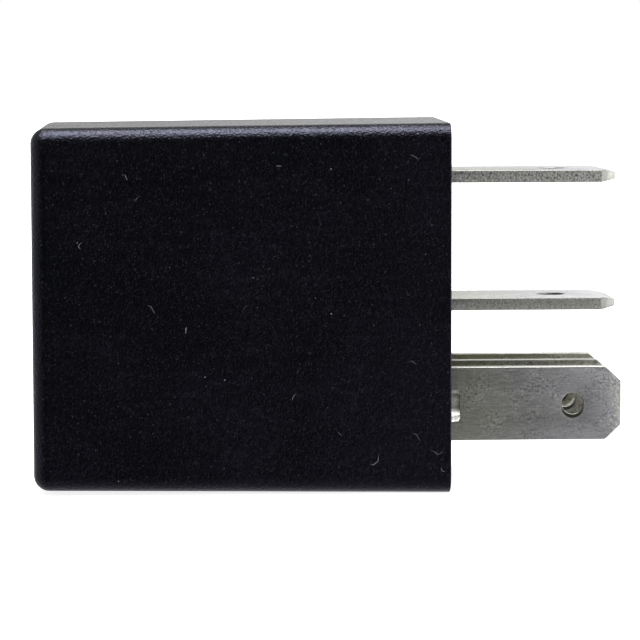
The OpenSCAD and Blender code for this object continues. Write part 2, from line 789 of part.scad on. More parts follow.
// Round wire swept along a path of points
module wire(path, r, sides = 8) {
    normals = carried(path, [1, 0, 0]);
    count = len(path);
    points = [
        for (i = [0 : count - 1], s = [0 : sides - 1])
            let (n = normals[i], b = cross(tangent(path, i), n), a = 360 * s / sides)
            path[i] + r * (cos(a) * n + sin(a) * b)
    ];
    skin = [
        for (i = [0 : count - 2], s = [0 : sides - 1])
            let (a = i * sides + s, b = i * sides + (s + 1) % sides)
            [a, b, b + sides, a + sides]
    ];
    first = [for (s = [sides - 1 : -1 : 0]) s];
    last = [for (s = [0 : sides - 1]) (count - 1) * sides + s];
    polyhedron(points, [for (f = concat([first], skin, [last])) [for (k = [len(f) - 1 : -1 : 0]) f[k]]]);
}

// Wire end: straight down from the winding, then wound on the terminal's arm
module coil_lead(side) {
    turn_r = norm([arm_w, blade_t]) / 2 + wire_r + 0.01;
    pitch = 2 * wire_r + 0.03;
    steps = 16;
    top_z = riser_87_z - 0.35;
    start_y = row_pitch - turn_r;
    start_z = coil_z - sqrt(winding_r * winding_r - start_y * start_y) + wire_r / 2;
    path = concat(
        [for (z = [start_z, (start_z + top_z) / 2, top_z + 0.1]) [arm_x, side * start_y, z]],
        [
            for (k = [1 : steps * wire_turns])
                let (a = 360 * k / steps)
                [arm_x + turn_r * sin(a), side * (row_pitch - turn_r * cos(a)), top_z - pitch * k / steps]
        ]
    );
    color(copper) stand() wire(path, wire_r);
}

module coil_lead_85() {
    coil_lead(1);
}

module coil_lead_86() {
    coil_lead(-1);
}

cover();
base();
terminal_30();
terminal_87();
terminal_87a();
terminal_85();
terminal_86();
bobbin();
winding();
core();
yoke();
armature();
contact_spring();
moving_contact();
contact_no();
contact_nc();
armature_rivet_1();
armature_rivet_2();
yoke_rivet_1();
yoke_rivet_2();
resistor();
resistor_lead_85();
resistor_lead_86();
coil_lead_85();
coil_lead_86();
solder_85();
solder_86();
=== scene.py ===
"""Looks of the plug-in automotive relay: smooth cover, edge-rounded blades, finishes, studio and camera."""

import math

import bmesh
import bpy
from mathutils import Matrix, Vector


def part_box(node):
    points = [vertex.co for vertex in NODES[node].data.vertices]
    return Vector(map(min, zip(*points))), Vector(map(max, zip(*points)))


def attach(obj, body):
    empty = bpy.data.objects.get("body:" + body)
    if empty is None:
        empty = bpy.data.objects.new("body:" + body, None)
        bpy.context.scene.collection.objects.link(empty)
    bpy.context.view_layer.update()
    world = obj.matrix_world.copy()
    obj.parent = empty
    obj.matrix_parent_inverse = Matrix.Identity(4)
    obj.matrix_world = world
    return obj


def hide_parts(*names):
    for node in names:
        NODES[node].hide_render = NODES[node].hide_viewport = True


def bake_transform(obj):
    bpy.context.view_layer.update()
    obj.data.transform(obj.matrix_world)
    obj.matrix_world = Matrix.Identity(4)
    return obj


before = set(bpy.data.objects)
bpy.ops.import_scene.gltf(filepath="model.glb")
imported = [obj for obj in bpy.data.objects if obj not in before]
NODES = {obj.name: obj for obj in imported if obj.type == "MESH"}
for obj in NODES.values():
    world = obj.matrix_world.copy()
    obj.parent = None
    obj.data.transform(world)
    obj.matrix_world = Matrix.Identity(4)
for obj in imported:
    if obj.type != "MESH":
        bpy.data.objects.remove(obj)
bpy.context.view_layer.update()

MM = 0.001
cover_low, cover_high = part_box("cover")
COVER_H = cover_high.z - cover_low.z
COVER_D = cover_high.y - cover_low.y
COVER_L = cover_high.x - cover_low.x
# Middle of the seating face, which the blades and the camera are placed from
SEAT = Vector((cover_high.x, 0, cover_low.z + COVER_H / 2))
# How near a mesh's point is to a box's side when it counts as lying on it
NEAR = 0.01 * MM

# The small blades' tips, where the tin is paler over the last stretch: its start and where it is full
BLADE_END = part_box("terminal_86")[1].x
TIP_START = BLADE_END - 0.85 * MM
TIP_FULL = BLADE_END - 0.60 * MM

# The small blades' locking hole, and how far from its middle the marks and the painted shade in and round it
# reach
HOLE_FROM_TIP = 3.2 * MM
HOLE = Vector((BLADE_END - HOLE_FROM_TIP, 0, sum(corner.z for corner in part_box("terminal_86")) / 2))
HOLE_R = 0.7 * MM
BORE_SHADE_REACH = HOLE_R + 0.02 * MM
RIM_REACH = HOLE_R + 0.15 * MM
BURR_FULL = HOLE_R + 0.10 * MM
BURR_REACH = HOLE_R + 0.26 * MM
# Where the painted shade round the hole is full, and where it ends
HOLE_SHADE_FULL = 1.2 * MM
HOLE_SHADE_REACH = 1.7 * MM

# The small blades' coined recess at the seating face: its length, half its height and its rounded corners.
# A bump makes its floor look hollow. In metres, it is RECESS_DISH times the square of the height above the
# blade's middle.
RECESS_L = 0.8 * MM
RECESS_HALF = 0.9 * MM
RECESS_CORNER = 0.25 * MM
RECESS_DISH = 370


# ----------------------------------------------------------------- node graphs

def add(tree, kind, inputs=None, **settings):
    """A shader node. inputs gives each socket a value, or the socket that feeds it."""
    made = tree.nodes.new(kind)
    for name, value in settings.items():
        setattr(made, name, value)
    for name, value in (inputs or {}).items():
        if isinstance(value, bpy.types.NodeSocket):
            tree.links.new(value, made.inputs[name])
        else:
            made.inputs[name].default_value = value
    return made


def math_node(tree, operation, a, b=0.0, clamp=False):
    return add(tree, "ShaderNodeMath", {0: a, 1: b}, operation=operation, use_clamp=clamp).outputs[0]


def product(tree, first, *others):
    """All the values multiplied."""
    result = first
    for value in others:
        result = math_node(tree, "MULTIPLY", result, value)
    return result


def apart(tree, vector):
    """The X, Y and Z of a vector."""
    return add(tree, "ShaderNodeSeparateXYZ", {0: vector}).outputs


def chances(tree, colour):
    """Three values of 0 to 1 that a cell's random colour holds."""
    return add(tree, "ShaderNodeSeparateColor", {0: colour}).outputs


def scaled(tree, vector, scale):
    """vector times scale, axis by axis."""
    return add(tree, "ShaderNodeVectorMath", {0: vector, 1: scale}, operation="MULTIPLY").outputs[0]


def noise(tree, vector, scale, detail=2.0, roughness=0.5, distortion=0.0):
    """Noise of about the value 0.5 at a scale given in waves per metre."""
    inputs = {"Vector": vector, "Scale": scale, "Detail": detail, "Roughness": roughness}
    return add(tree, "ShaderNodeTexNoise", {**inputs, "Distortion": distortion}).outputs[0]


def rgb(colour):
    """The colour as (r, g, b), where a single number is a grey."""
    return colour if isinstance(colour, tuple) else (colour,) * 3


def ramp(tree, value, stops):
    """Colour by value, from stops of (place, colour)."""
    made = add(tree, "ShaderNodeValToRGB", {0: value})
    band = made.color_ramp
    while len(band.elements) < len(stops):
        band.elements.new(0.5)
    for element, (place, colour) in zip(band.elements, stops):
        element.position = place
        element.color = (*rgb(colour), 1)
    return made.outputs[0]


def span(tree, value, low, high, to_low=0.0, to_high=1.0, smooth=False):
    """value taken from the span low..high to to_low..to_high, clamped."""
    kind = "SMOOTHSTEP" if smooth else "LINEAR"
    inputs = {0: value, 1: low, 2: high, 3: to_low, 4: to_high}
    return add(tree, "ShaderNodeMapRange", inputs, interpolation_type=kind).outputs[0]


def blend_colour(tree, factor, a, b, how="MIX"):
    """Colour a taken towards colour b by the factor."""
    made = add(tree, "ShaderNodeMix", data_type="RGBA", blend_type=how)
    for index, value in ((0, factor), (6, a), (7, b)):
        if isinstance(value, bpy.types.NodeSocket):
            tree.links.new(value, made.inputs[index])
        else:
            made.inputs[index].default_value = (*rgb(value), 1) if index else value
    return made.outputs[2]


def times(tree, colour, by, where=None):
    """colour multiplied by another, all over or as far as the mask where is 1."""
    multiplied = blend_colour(tree, 1.0, colour, by, "MULTIPLY")
    return multiplied if where is None else blend_colour(tree, where, colour, multiplied)


def bump(tree, height, depth, strength=1.0, under=None):
    """Bump of that depth in metres, on top of another bump."""
    inputs = {"Height": height, "Distance": depth, "Strength": strength}
    if under is not None:
        inputs["Normal"] = under
    return add(tree, "ShaderNodeBump", inputs).outputs[0]


def normal_parts(tree):
    """The X, Y and Z of the surface's normal."""
    return apart(tree, add(tree, "ShaderNodeNewGeometry").outputs["Normal"])


def facing(tree, axis):
    """1 where the surface faces along the axis (0 X, 1 Y, 2 Z), either way, and 0 elsewhere."""
    return span(tree, math_node(tree, "ABSOLUTE", normal_parts(tree)[axis]), 0.6, 0.75)


def material(name, **constants):
    """A material, its tree, its shader and its coordinates in metres. constants are set on the shader."""
    made = bpy.data.materials.new(name)
    made.use_nodes = True
    tree = made.node_tree
    shader = tree.nodes["Principled BSDF"]
    for key, value in constants.items():
        shader.inputs[key.replace("_", " ")].default_value = value
    place = add(tree, "ShaderNodeTexCoord").outputs["Object"]
    return made, tree, shader, place


def feed(tree, shader, **sockets):
    """Links each socket to the shader's input of that name."""
    for name, socket in sockets.items():
        tree.links.new(socket, shader.inputs[name.replace("_", " ")])


# --------------------------------------------------------------- black plastic

def lint(tree, place, axes, cell, share, seed):
    """Short crooked fibres on the plane of two axes, in a share of its cells: 0 to 1 by their brightness."""
    # A fibre's half length, how far from its line it is solid and where it ends, and how much it bends
    short, long = 0.16 * MM, 0.5 * MM
    solid, gone = 0.004 * MM, 0.034 * MM
    swing, most_curl = 0.16 * MM, 1700
    parts = apart(tree, place)
    flat = add(tree, "ShaderNodeCombineXYZ", {0: parts[axes[0]], 1: parts[axes[1]], 2: seed}).outputs[0]
    cells = add(tree, "ShaderNodeTexVoronoi", {"Vector": flat, "Scale": 1 / cell}, voronoi_dimensions="2D")
    chance = chances(tree, cells.outputs["Color"])
    middle = cells.outputs["Position"]
    offset = add(tree, "ShaderNodeVectorMath", {0: flat, 1: middle}, operation="SUBTRACT").outputs[0]
    angle = product(tree, chance[0], 2 * math.pi)
    turned = add(tree, "ShaderNodeVectorRotate", {"Vector": offset, "Angle": angle}, rotation_type="Z_AXIS")
    lengthwise, across, _ = apart(tree, turned.outputs[0])
    along = math_node(tree, "ABSOLUTE", lengthwise)
    arc = product(tree, along, along, span(tree, chance[1], 0, 1, 0, most_curl))
    # The noise bends a fibre to one side and back, by up to swing
    crook = span(tree, noise(tree, flat, 1500, 1), 0.2, 0.8, -swing, swing)
    arc = math_node(tree, "ADD", arc, crook)
    away = math_node(tree, "ABSOLUTE", math_node(tree, "SUBTRACT", across, arc))
    thin = span(tree, away, solid, gone, 1, 0)
    half = span(tree, chance[0], 0, 1, short, long)
    fade = span(tree, math_node(tree, "DIVIDE", along, half), 0.5, 1.0, 1, 0)
    bright = span(tree, chance[2], 1 - share, 1, 0.15, 1)
    there = math_node(tree, "GREATER_THAN", chance[2], 1 - share)
    return product(tree, thin, fade, there, bright)


def specks(tree, place, cell, radius, share):
    """Round specks of about radius, one to a cell, of which share are there: 0 to 1 by how bright each is."""
    cells = add(tree, "ShaderNodeTexVoronoi", {"Vector": place, "Scale": 1 / cell})
    spot = span(tree, cells.outputs["Distance"], 0.4 * radius / cell, radius / cell, 1, 0)
    chance = chances(tree, cells.outputs["Color"])[0]
    there = math_node(tree, "LESS_THAN", chance, share)
    bright = span(tree, chance, 0, share, 0.3, 1)
    return product(tree, spot, there, bright)


def dust(tree, place):
    """Specks and lint that lie on the black plastic."""
    total = specks(tree, place, cell=0.62 * MM, radius=0.06 * MM, share=0.035)
    for cell, share, bright in ((0.37 * MM, 0.4, 0.17), (0.19 * MM, 0.6, 0.06)):
        fine = specks(tree, place, cell, radius=0.07 * MM, share=share)
        total = math_node(tree, "MAXIMUM", total, product(tree, fine, bright))
    # Each pair of axes spans a plane, and the third axis is the one that its faces look along
    for axes, axis, seed in (((0, 2), 1, 0.0), ((0, 1), 2, 3.0), ((1, 2), 0, 7.0)):
        fibres = lint(tree, place, axes, cell=3.4 * MM, share=0.28, seed=seed)
        fibres = product(tree, fibres, facing(tree, axis))
        total = math_node(tree, "MAXIMUM", total, fibres)
    return total


def black_plastic(name, dusty=True):
    """Black moulding: faintly blue, spark-eroded satin, with or without dust."""
    made, tree, shader, place = material(name, IOR=1.53, Specular_Tint=(0.72, 0.73, 1, 1))
    cloud = noise(tree, place, 120, 3, 0.6)
    grain = noise(tree, place, 7500, 1, 0.6)
    pits = noise(tree, place, 3600, 3, 0.6)
    waves = noise(tree, place, 260, 1)
    smear = noise(tree, scaled(tree, place, (160, 1600, 1600)), 1, 3, 0.6)
    x, _, z = apart(tree, place)
    # Painted light: the black is palest towards the mouth and the underside, as if lit there, and varies in
    # clouds
    forward = span(tree, x, cover_low.x, cover_high.x, 0, 0.4)
    painted_floor_light = span(tree, z, cover_high.z, cover_low.z, 0, 0.4)
    painted_light_and_cloud = math_node(tree, "ADD", forward, painted_floor_light)
    painted_light_and_cloud = math_node(tree, "ADD", painted_light_and_cloud, span(tree, cloud, 0.35, 0.65, -0.2, 0.4))
    ground = ramp(tree, painted_light_and_cloud, [(0.1, (0.0000, 0.0001, 0.0000)), (0.9, (0.0008, 0.0006, 0.0013))])
    ground = times(tree, ground, ramp(tree, pits, [(0.50, 1), (0.72, 4.5)]))
    rough = span(tree, pits, 0.3, 0.7, 0.14, 0.24)
    rough = math_node(tree, "ADD", rough, span(tree, smear, 0.35, 0.65, 0, 0.10))
    if dusty:
        dirt = dust(tree, place)
        ground = blend_colour(tree, dirt, ground, (0.13, 0.13, 0.14))
        rough = math_node(tree, "ADD", rough, dirt, clamp=True)
    relief = bump(tree, grain, 0.06 * MM, 0.8)
    relief = bump(tree, pits, 0.026 * MM, 0.7, relief)
    relief = bump(tree, waves, 0.02 * MM, 0.6, relief)
    feed(tree, shader, Base_Color=ground, Roughness=rough, Normal=relief)
    return made


# ---------------------------------------------------------------- tinned brass

def from_hole(tree, x, z):
    """How far a point of a small blade's face is from the middle of the locking hole."""
    away = add(tree, "ShaderNodeCombineXYZ", {0: math_node(tree, "SUBTRACT", x, HOLE.x)})
    tree.links.new(math_node(tree, "SUBTRACT", z, HOLE.z), away.inputs[2])
    return add(tree, "ShaderNodeVectorMath", {0: away.outputs[0]}, operation="LENGTH").outputs["Value"]


def in_recess(tree, x, rise):
    """1 over the coined recess, with its rounded corners. rise is the height above the blade's middle."""
    beside = math_node(tree, "SUBTRACT", math_node(tree, "ABSOLUTE", rise), RECESS_HALF - RECESS_CORNER)
    beyond = math_node(tree, "SUBTRACT", x, SEAT.x + RECESS_L - RECESS_CORNER)
    beside = math_node(tree, "POWER", math_node(tree, "MAXIMUM", beside, 0), 2)
    beyond = math_node(tree, "POWER", math_node(tree, "MAXIMUM", beyond, 0), 2)
    return math_node(tree, "LESS_THAN", math_node(tree, "ADD", beside, beyond), RECESS_CORNER ** 2)


def corners(tree):
    """Two masks: the rounded edges between the faces of a square-cut strip, and what faces down, where the
    corners get painted light from the floor.
    """
    normal = normal_parts(tree)
    most = 0.0
    for part in normal:
        most = math_node(tree, "MAXIMUM", most, math_node(tree, "ABSOLUTE", part))
    return span(tree, most, 0.93, 0.985, 1, 0), span(tree, normal[2], -0.5, -0.2, 1, 0)


def face_tin(tree, place, lines, speckle, patches):
    """The faces' colour: it shifts from root to tip, and speckles and scores lie on it in patches."""
    drift = product(tree, math_node(tree, "SUBTRACT", noise(tree, place, 260, 3, 0.6), 0.5), 0.9)
    along = span(tree, apart(tree, place)[0], SEAT.x, BLADE_END)
    along = math_node(tree, "ADD", along, drift, clamp=True)
    tin = ramp(tree, along, [(0.1, (0.46, 0.46, 0.41)), (0.5, 0.42), (0.9, (0.54, 0.53, 0.55))])
    mark = ramp(tree, speckle, [(0.34, (0.46, 0.46, 0.44)), (0.45, 0.94), (0.66, 1.38)])
    tin = times(tree, tin, mark, where=patches)
    tin = times(tree, tin, ramp(tree, lines, [(0.34, 0.80), (0.50, 1), (0.66, 1.14)]))
    dashes = noise(tree, scaled(tree, place, (2600, 8500, 8500)), 1, 2, 0.7)
    scored = ramp(tree, dashes, [(0.33, (0.62, 0.62, 0.64)), (0.42, 1), (0.62, 1), (0.70, 1.3)])
    return times(tree, tin, scored, where=patches)


def small_blade_marks(tree, place, torn, tipped, colour, worn_and_floor_lit, relief, rim, hole_shade):
    """The colour, the corners' colour and the relief, with the marks of the tip and the hole, painted shade
    in and round the hole, and painted light over the recess.
    """
    x, _, z = apart(tree, place)
    rise = math_node(tree, "SUBTRACT", z, HOLE.z)
    radius = from_hole(tree, x, z)
    recess = in_recess(tree, x, rise)
    grains = noise(tree, place, 6500, 2, 0.7)
    grains = ramp(tree, grains, [(0.38, (0.55, 0.55, 0.54)), (0.62, (1.5, 1.5, 1.47))])
    colour = times(tree, colour, grains, where=tipped)
    burr = span(tree, radius, BURR_FULL, BURR_REACH, 1, 0)
    ragged = product(tree, burr, span(tree, torn, 0.47, 0.58))
    colour = blend_colour(tree, ragged, colour, (0.85, 0.85, 0.80))
    # Painted shade: the face round the hole is darkened, standing in for the shade on the blades behind the
    # front one
    colour = times(tree, colour, hole_shade, where=span(tree, radius, HOLE_SHADE_FULL, HOLE_SHADE_REACH, 1, 0))
    # Painted shade: the hole's bore is painted near black, standing in for the shade inside it
    bore_shade = math_node(tree, "LESS_THAN", radius, BORE_SHADE_REACH)
    colour = blend_colour(tree, bore_shade, colour, (0.10, 0.10, 0.08))
    on_rim = math_node(tree, "LESS_THAN", radius, RIM_REACH)
    worn_and_floor_lit = blend_colour(tree, on_rim, worn_and_floor_lit, (rim, rim, 0.9 * rim))
    relief = bump(tree, product(tree, rise, rise, recess), RECESS_DISH, 1.0, relief)
    # Painted light: the recess is made paler, standing in for the overhead light that its hollow floor
    # catches
    colour = times(tree, colour, (1.5, 1.5, 1.48), where=recess)
    return colour, worn_and_floor_lit, relief


def tinned(name, face_axis, tone, cut_tone, grit, corner, rim=0.3, hole_shade=1.0):
    """Matt tin on brass strip: speckled faces with short rolling lines along X, granular cut edges and
    burnished corners, of which those that face down are painted paler as painted light from the floor.
    face_axis is the axis that the strip's faces look along. tone multiplies the faces' colour. cut_tone is
    the cut edges' brightness, and grit how much it varies. corner is the brightness of the corners. On the
    small blades, which face along Y, rim is the brightness of the hole's edge, and the last argument darkens
    the colour round the hole as painted shade."""
    made, tree, shader, place = material(name, Metallic=0.94)
    lines = noise(tree, scaled(tree, place, (2200, 15000, 15000)), 1, 3, 0.65)
    speckle = noise(tree, place, 6000, 3, 0.7)
    patches = span(tree, noise(tree, place, 700, 3, 0.6), 0.42, 0.60, 0.15, 1)
    torn = noise(tree, scaled(tree, place, (8500, 6000, 6000)), 1, 4, 0.75, 0.4)
    cut = math_node(tree, "SUBTRACT", 1.0, facing(tree, face_axis))

    tin = times(tree, face_tin(tree, place, lines, speckle, patches), tone)
    flecks = specks(tree, place, cell=0.42 * MM, radius=0.08 * MM, share=0.20)
    flecks = product(tree, flecks, patches)
    tin = blend_colour(tree, flecks, tin, (0.95, 0.95, 0.93))
    levels = ((0.36, cut_tone - grit), (0.50, cut_tone), (0.64, cut_tone + grit))
    edge = ramp(tree, torn, [(at, (level, level, 0.94 * level)) for at, level in levels])
    colour = blend_colour(tree, cut, tin, edge)

    rough = span(tree, lines, 0.3, 0.7, 0.32, 0.46)
    relief = bump(tree, lines, 0.006 * MM, 0.5)
    relief = bump(tree, product(tree, speckle, patches), 0.022 * MM, 0.7, relief)
    relief = bump(tree, product(tree, torn, cut), 0.03 * MM, 0.6, relief)

    dull = (0.7 * corner, 0.7 * corner, 0.66 * corner)
    worn_and_floor_lit = ramp(tree, torn, [(0.38, dull), (0.52, (corner, corner, 0.94 * corner))])
    corner_mask, under = corners(tree)
    tipped = span(tree, apart(tree, place)[0], TIP_START, TIP_FULL)
    # Painted light: corners that face down are made 1.5 times paler, standing in for the floor's light; the
    # corners at the tips are paler as well
    worn_and_floor_lit = times(tree, worn_and_floor_lit, 1.5, where=math_node(tree, "MAXIMUM", tipped, under))

    if face_axis == 1:
        marked = small_blade_marks(tree, place, torn, tipped, colour, worn_and_floor_lit, relief, rim, hole_shade)
        colour, worn_and_floor_lit, relief = marked
    colour = blend_colour(tree, corner_mask, colour, worn_and_floor_lit)
    feed(tree, shader, Base_Color=colour, Roughness=rough, Normal=relief)
    return made


# -------------------------------------------------------------- inner finishes

def brushed_metal(name, low, high, rough_low, rough_high, scale=(900, 9000, 9000)):
    """Bare metal between two colours and two roughnesses, with fine lines along X unless scale says else."""
    made, tree, shader, place = material(name, Metallic=1.0)
    lines = noise(tree, scaled(tree, place, scale), 1, 3, 0.6)
    colour = ramp(tree, noise(tree, place, 500, 3, 0.6), [(0.3, low), (0.7, high)])
    rough = span(tree, lines, 0.3, 0.7, rough_low, rough_high)
    relief = bump(tree, lines, 0.008 * MM, 0.5)
    feed(tree, shader, Base_Color=colour, Roughness=rough, Normal=relief)
    return made


def coil_wire():
    """Enamelled wire wound in fine turns across X, with painted shade between the turns."""
    made, tree, shader, place = material("coil_wire", Metallic=0.75, Coat_Weight=0.4, Coat_Roughness=0.15)
    pitch = 0.15 * MM
    waver = product(tree, noise(tree, place, 300, 2), 0.02 * MM)
    x = math_node(tree, "ADD", apart(tree, place)[0], waver)
    turns = math_node(tree, "SINE", product(tree, x, math.pi / pitch))
    turns = math_node(tree, "ABSOLUTE", turns)
    # Painted shade and highlight: the colour is dark in the gaps between turns and palest on their crests
    gap, flank, crest = (0.10, 0.03, 0.01), (0.55, 0.21, 0.08), (0.70, 0.30, 0.13)
    colour = ramp(tree, turns, [(0.0, gap), (0.6, flank), (1.0, crest)])
    rough = span(tree, turns, 0, 1, 0.5, 0.28)
    feed(tree, shader, Base_Color=colour, Roughness=rough, Normal=bump(tree, turns, 0.05 * MM, 0.8))
    return made


def moulded(name, low, high, rough=0.45):
    """Plain moulded nylon or lacquer with a soft grain."""
    made, tree, shader, place = material(name)
    colour = ramp(tree, noise(tree, place, 700, 3, 0.6), [(0.3, low), (0.7, high)])
    grain = noise(tree, place, 4000, 3)
    roughness = span(tree, grain, 0.3, 0.7, rough - 0.08, rough + 0.08)
    feed(tree, shader, Base_Color=colour, Roughness=roughness, Normal=bump(tree, grain, 0.01 * MM, 0.5))
    return made


# Keyed by the names given here, as Blender numbers those that the CAD's own materials already have
FINISHES = {
    "cover_plastic": black_plastic("cover_plastic"),
    "base_plastic": black_plastic("base_plastic", dusty=False),
    "tinned_brass_flat": tinned(
        "tinned_brass_flat", 2, tone=(2.0, 2.0, 2.02), cut_tone=0.64, grit=0.28, corner=0.38),
    "tinned_brass_gritty": tinned(
        "tinned_brass_gritty", 2, tone=(1.38, 1.38, 1.40), cut_tone=0.74, grit=0.62, corner=0.46),
    "tinned_brass_upright": tinned(
        "tinned_brass_upright", 1, tone=(1.17, 1.17, 1.18), cut_tone=0.64, grit=0.25, corner=0.57),
    # The blades behind the front one: yellower tin, with painted shade round the hole
    "tinned_brass_aged_shaded": tinned(
        "tinned_brass_aged_shaded", 1, tone=(1.35, 1.35, 1.12), cut_tone=0.76, grit=0.32, corner=0.70,
        rim=0.95, hole_shade=0.55),
    "bobbin_plastic": moulded("bobbin_plastic", (0.46, 0.43, 0.36), (0.58, 0.55, 0.48)),
    "coil_wire": coil_wire(),
    "bare_steel": brushed_metal("bare_steel", (0.42, 0.42, 0.43), (0.55, 0.55, 0.56), 0.28, 0.45),
    "spring_copper": brushed_metal("spring_copper", (0.75, 0.46, 0.24), (0.83, 0.55, 0.32), 0.22, 0.38),
    "contact_silver": brushed_metal("contact_silver", (0.80, 0.79, 0.76), (0.90, 0.89, 0.87), 0.18, 0.34),
    "rivet_copper": brushed_metal("rivet_copper", (0.66, 0.33, 0.18), (0.76, 0.42, 0.26), 0.25, 0.42),
    "resistor_coat": moulded("resistor_coat", (0.06, 0.20, 0.29), (0.10, 0.29, 0.41), 0.35),
    "wire_tin": brushed_metal("wire_tin", (0.60, 0.60, 0.58), (0.72, 0.72, 0.70), 0.25, 0.40),
    "solder_tin": brushed_metal(
        "solder_tin", (0.58, 0.59, 0.60), (0.70, 0.71, 0.72), 0.18, 0.32, scale=(2500, 2500, 2500)),
}


# ---------------------------------------------------------------------- pieces

def placed(name, data):
    """A new object in the scene."""
    made = bpy.data.objects.new(name, data)
    bpy.context.scene.collection.objects.link(made)
    return made


def built(name, work):
    """A new object in the scene from a bmesh, which is freed."""
    mesh = bpy.data.meshes.new(name)
    work.to_mesh(mesh)
    work.free()
    return placed(name, mesh)


def finish_object(piece, finish, body):
    """Gives a new piece its material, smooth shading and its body."""
    piece.data.materials.clear()
    piece.data.materials.append(FINISHES[finish])
    for face in piece.data.polygons:
        face.use_smooth = True
    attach(piece, body)


def rounded_copy(node, finish, width, rolled=1.0):
    """A copy of a CAD node with its sharp edges rounded to width, which then stands for the node.
    The edges on its underside, where the punch rolled the strip over, are rounded rolled times as much.
    Where rolled is 1, edges at the seating face and near the node's middle height stay sharp, as the
    coined recess of the small blades is there."""
    # Edges over sharp are rounded. Those over shallow stay crisp where both of their faces are broad.
    sharp, shallow = math.radians(30), math.radians(2)
    broad_area = MM * MM
    # Space round the recess within which edges count as its own
    margin = 0.1 * MM
    mesh = NODES[node].data.copy()
    piece = placed(node + "_rounded", mesh)
    work = bmesh.new()
    work.from_mesh(mesh)
    bmesh.ops.remove_doubles(work, verts=work.verts, dist=0.0005 * MM)
    bmesh.ops.dissolve_limit(work, angle_limit=math.radians(0.5), verts=work.verts, edges=work.edges)
    weight = work.edges.layers.float.new("bevel_weight_edge")
    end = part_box(node)[1].x
    tip = [vert.co.z for vert in work.verts if vert.co.x > end - NEAR]
    middle = (min(tip) + max(tip)) / 2

    def by_recess(vert):
        along = abs(vert.co.x - SEAT.x) < RECESS_L + margin
        return along and abs(vert.co.z - middle) < RECESS_HALF + margin

    for edge in work.edges:
        angle = edge.calc_face_angle(0)
        broad = all(face.calc_area() > broad_area for face in edge.link_faces)
        if angle > sharp and rolled == 1 and all(by_recess(vert) for vert in edge.verts):
            edge.smooth = False
        elif angle > sharp:
            under = any(face.normal.z < -0.9 for face in edge.link_faces)
            edge[weight] = 1 if under else 1 / rolled
        elif angle > shallow and broad:
            edge.smooth = False
    work.to_mesh(mesh)
    work.free()
    edges = piece.modifiers.new("edges", "BEVEL")
    edges.width = width * rolled
    edges.segments = 3
    edges.limit_method = "WEIGHT"
    edges.use_clamp_overlap = False
    edges.harden_normals = True
    finish_object(piece, finish, "relay_body")
    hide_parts(node)


def quarter_turn(steps):
    """Angles from 0 to 90 degrees in equal steps, in radians."""
    return [math.radians(90 * step / steps) for step in range(steps + 1)]


def rounded_ring(half_h, half_d, radius, x, steps):
    """Points round a rectangle with rounded corners, in the plane at x."""
    ring = []
    for corner, (side_y, side_z) in enumerate(((1, 1), (-1, 1), (-1, -1), (1, -1))):
        for step in range(steps + 1):
            angle = math.radians(90 * corner + 90 * step / steps)
            y = side_y * (half_d - radius) + radius * math.cos(angle)
            z = side_z * (half_h - radius) + radius * math.sin(angle)
            ring.append(Vector((x, y, SEAT.z + z)))
    return ring


def latch_blocks():
    """A block over each of the base's four snap latches, from the latches' own tips."""
    # Free space round a latch, how far its slope goes on behind its tip, and how far inside the cover's
    # outer side a block starts, which is past the wall
    gap, foot, inward = 0.08 * MM, 0.9 * MM, 1.5 * MM
    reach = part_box("base")[1].y
    tips = [vert.co for vert in NODES["base"].data.vertices if abs(vert.co.y) > reach - NEAR]
    blocks = bmesh.new()
    for side in (-1, 1):
        for half in (-1, 1):
            own = [tip for tip in tips if tip.y * side > 0 and (tip.z - SEAT.z) * half > 0]
            along = [tip.x for tip in own]
            upward = [tip.z for tip in own]
            start = Vector((min(along) - foot, side * (COVER_D / 2 - inward), min(upward) - gap))
            end = Vector((max(along) + gap, side * (reach + gap), max(upward) + gap))
            size = end - start
            block = bmesh.ops.create_cube(blocks, size=1)["verts"]
            bmesh.ops.scale(blocks, vec=(size.x, abs(size.y), size.z), verts=block)
            bmesh.ops.translate(blocks, vec=(start + end) / 2, verts=block)
    return built("latch_blocks", blocks)


def cut_by(piece, cutter):
    """Takes the cutter's volume out of the piece's mesh, and the cutter away."""
    cut = piece.modifiers.new("cut", "BOOLEAN")
    cut.object = cutter
    cut.solver = "EXACT"
    graph = bpy.context.evaluated_depsgraph_get()
    piece.data = bpy.data.meshes.new_from_object(piece.evaluated_get(graph))
    piece.modifiers.clear()
    bpy.data.objects.remove(cutter)


